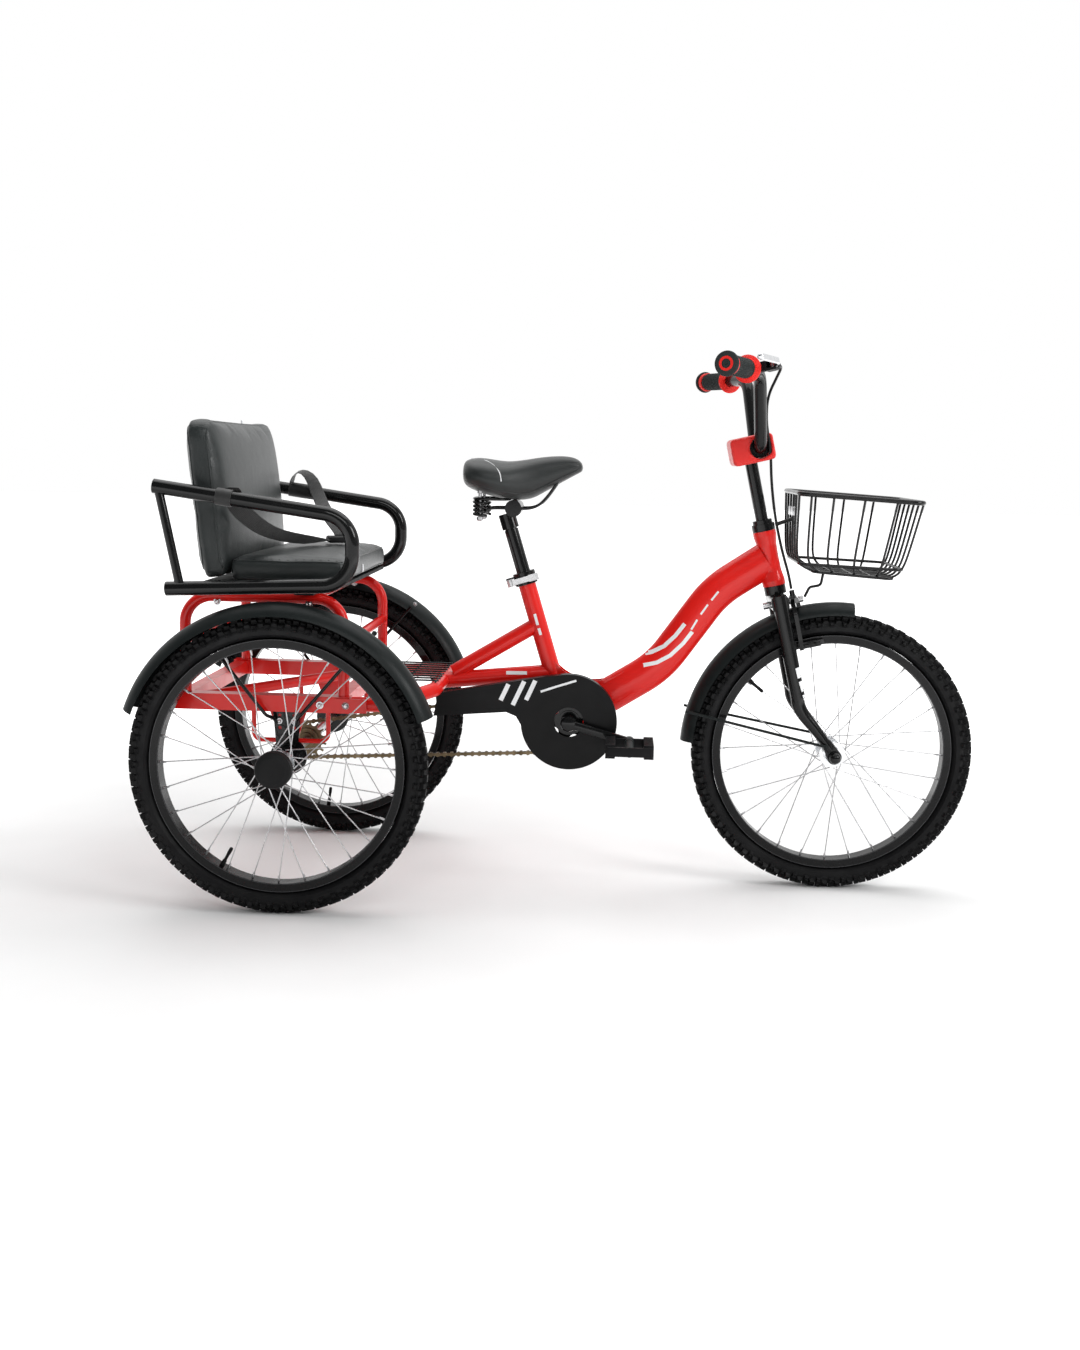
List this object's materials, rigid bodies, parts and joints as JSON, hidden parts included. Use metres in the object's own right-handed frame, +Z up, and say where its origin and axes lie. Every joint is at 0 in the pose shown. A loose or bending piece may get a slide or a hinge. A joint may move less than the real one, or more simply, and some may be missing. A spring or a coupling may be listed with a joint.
{
  "type": "adult tricycle",
  "caption": "Three-wheeled pedal cycle with a step-through frame, front basket and a two-armed passenger seat over the rear axle.",
  "frame": {"origin": "middle of the footprint on the ground", "axes": "+X forward, +Y to the rider's left, +Z up"},
  "size_m": [1.4736, 0.632, 0.949],
  "materials": {
    "red_paint": "gloss",
    "black_paint": "gloss",
    "fender_black": "satin",
    "guard_black": "satin",
    "rim_black": "gloss",
    "tyre_black": "matt",
    "steel": "satin",
    "alloy": "polished",
    "seat_board": "satin",
    "vinyl": "satin",
    "saddle_vinyl": "satin",
    "belt_webbing": "matt",
    "grip_rubber": "matt",
    "pad_red": "matt",
    "plastic_black": "matt",
    "cable_black": "satin",
    "pad_rubber": "matt",
    "basket_wire": "gloss",
    "chain_bronze": "oiled"
  },
  "bodies": {
    "frame": {"front_frame": "red_paint", "rear_frame": "red_paint", "rack": "red_paint", "footrest_grid": "black_paint", "bearing_carriers": "black_paint", "rear_fender_right": "fender_black", "rear_fender_left": "fender_black", "fender_stays": "black_paint", "seat_cushion": "vinyl", "back_cushion": "vinyl", "seat_frame": "seat_board", "armrest_right": "black_paint", "armrest_left": "black_paint", "lap_belt": "belt_webbing", "chain_guard": "guard_black", "seat_collar": "steel"},
    "seat_lever": {"quick_release_lever": "steel"},
    "saddle_assembly": {"seat_post": "black_paint", "saddle_clamp": "steel", "saddle_springs": "black_paint", "saddle": "saddle_vinyl"},
    "steering": {"fork": "black_paint", "headset_nut": "black_paint", "stem": "black_paint", "handlebar": "black_paint", "bar_pad": "pad_red", "grips": "grip_rubber", "lever_bracket": "plastic_black", "brake_cable": "cable_black", "caliper_bolt": "steel", "front_fender": "fender_black", "front_axle": "steel", "basket": "basket_wire", "basket_supports": "black_paint"},
    "brake_lever_body": {"brake_lever": "alloy"},
    "caliper_right": {"caliper_arm_right": "black_paint", "brake_pad_right": "pad_rubber"},
    "caliper_left": {"caliper_arm_left": "black_paint", "brake_pad_left": "pad_rubber"},
    "front_wheel": {"front_tyre": "tyre_black", "front_rim": "rim_black", "front_spokes": "steel", "front_hub": "alloy"},
    "driven_axle": {"rear_axle": "steel", "freewheel": "chain_bronze", "rear_tyre_right": "tyre_black", "rear_rim_right": "rim_black", "rear_spokes_right": "steel", "rear_hub_right": "alloy", "hub_cap_right": "plastic_black"},
    "left_wheel": {"rear_tyre_left": "tyre_black", "rear_rim_left": "rim_black", "rear_spokes_left": "steel", "rear_hub_left": "alloy", "hub_cap_left": "plastic_black"},
    "crank_set": {"crank": "black_paint", "chainring": "chain_bronze", "chain": "chain_bronze"},
    "pedal_right_body": {"pedal_right": "plastic_black"},
    "pedal_left_body": {"pedal_left": "plastic_black"}
  },
  "joints": [
    {"name": "steering_turn", "type": "hinge", "parent": "frame", "child": "steering", "pos_m": [0.36721, 0, 0.5568], "axis": [-0.2284, 0, 0.9736], "range_deg": [-45, 45]},
    {"name": "front_wheel_spin", "type": "hinge", "parent": "steering", "child": "front_wheel", "pos_m": [0.48281, 0, 0.254], "axis": [0, 1, 0], "continuous": true},
    {"name": "brake_lever_pull", "type": "hinge", "parent": "steering", "child": "brake_lever_body", "pos_m": [0.32817, -0.18818, 0.93421], "axis": [0.1925, -0.0921, -0.977], "range_deg": [0, 12], "stiffness_Nm_per_rad": 0.6, "springref_deg": -20.05},
    {"name": "caliper_right_close", "type": "hinge", "parent": "steering", "child": "caliper_right", "pos_m": [0.37502, 0, 0.52351], "axis": [0.9736, 0, 0.2284], "range_deg": [0, 1.5]},
    {"name": "caliper_left_close", "type": "hinge", "parent": "steering", "child": "caliper_left", "pos_m": [0.37502, 0, 0.52351], "axis": [-0.9736, 0, -0.2284], "range_deg": [0, 1.5]},
    {"name": "rear_axle_spin", "type": "hinge", "parent": "frame", "child": "driven_axle", "pos_m": [-0.47569, 0, 0.254], "axis": [0, 1, 0], "continuous": true},
    {"name": "left_wheel_spin", "type": "hinge", "parent": "frame", "child": "left_wheel", "pos_m": [-0.47569, 0.27, 0.254], "axis": [0, 1, 0], "continuous": true},
    {"name": "crank_spin", "type": "hinge", "parent": "frame", "child": "crank_set", "pos_m": [0.00431, 0, 0.3035], "axis": [0, 1, 0], "continuous": true, "deforming": ["chain"]},
    {"name": "pedal_right_spin", "type": "hinge", "parent": "crank_set", "child": "pedal_right_body", "pos_m": [0.11427, -0.118, 0.27342], "axis": [0, 1, 0], "continuous": true},
    {"name": "pedal_left_spin", "type": "hinge", "parent": "crank_set", "child": "pedal_left_body", "pos_m": [-0.10565, 0.118, 0.33358], "axis": [0, 1, 0], "continuous": true},
    {"name": "seat_height", "type": "slide", "parent": "frame", "child": "saddle_assembly", "axis": [-0.2974, 0, 0.9548], "range_m": [-0.04, 0.06]},
    {"name": "seat_lever_open", "type": "hinge", "parent": "frame", "child": "seat_lever", "pos_m": [-0.10686, -0.02, 0.54983], "axis": [0.2974, 0, -0.9548], "range_deg": [0, 120]}
  ],
  "couplings": [
    {"joint": "crank_spin", "follows": "rear_axle_spin", "ratio": 0.57143},
    {"joint": "caliper_right_close", "follows": "brake_lever_pull", "ratio": 0.125},
    {"joint": "caliper_left_close", "follows": "brake_lever_pull", "ratio": 0.125}
  ]
}
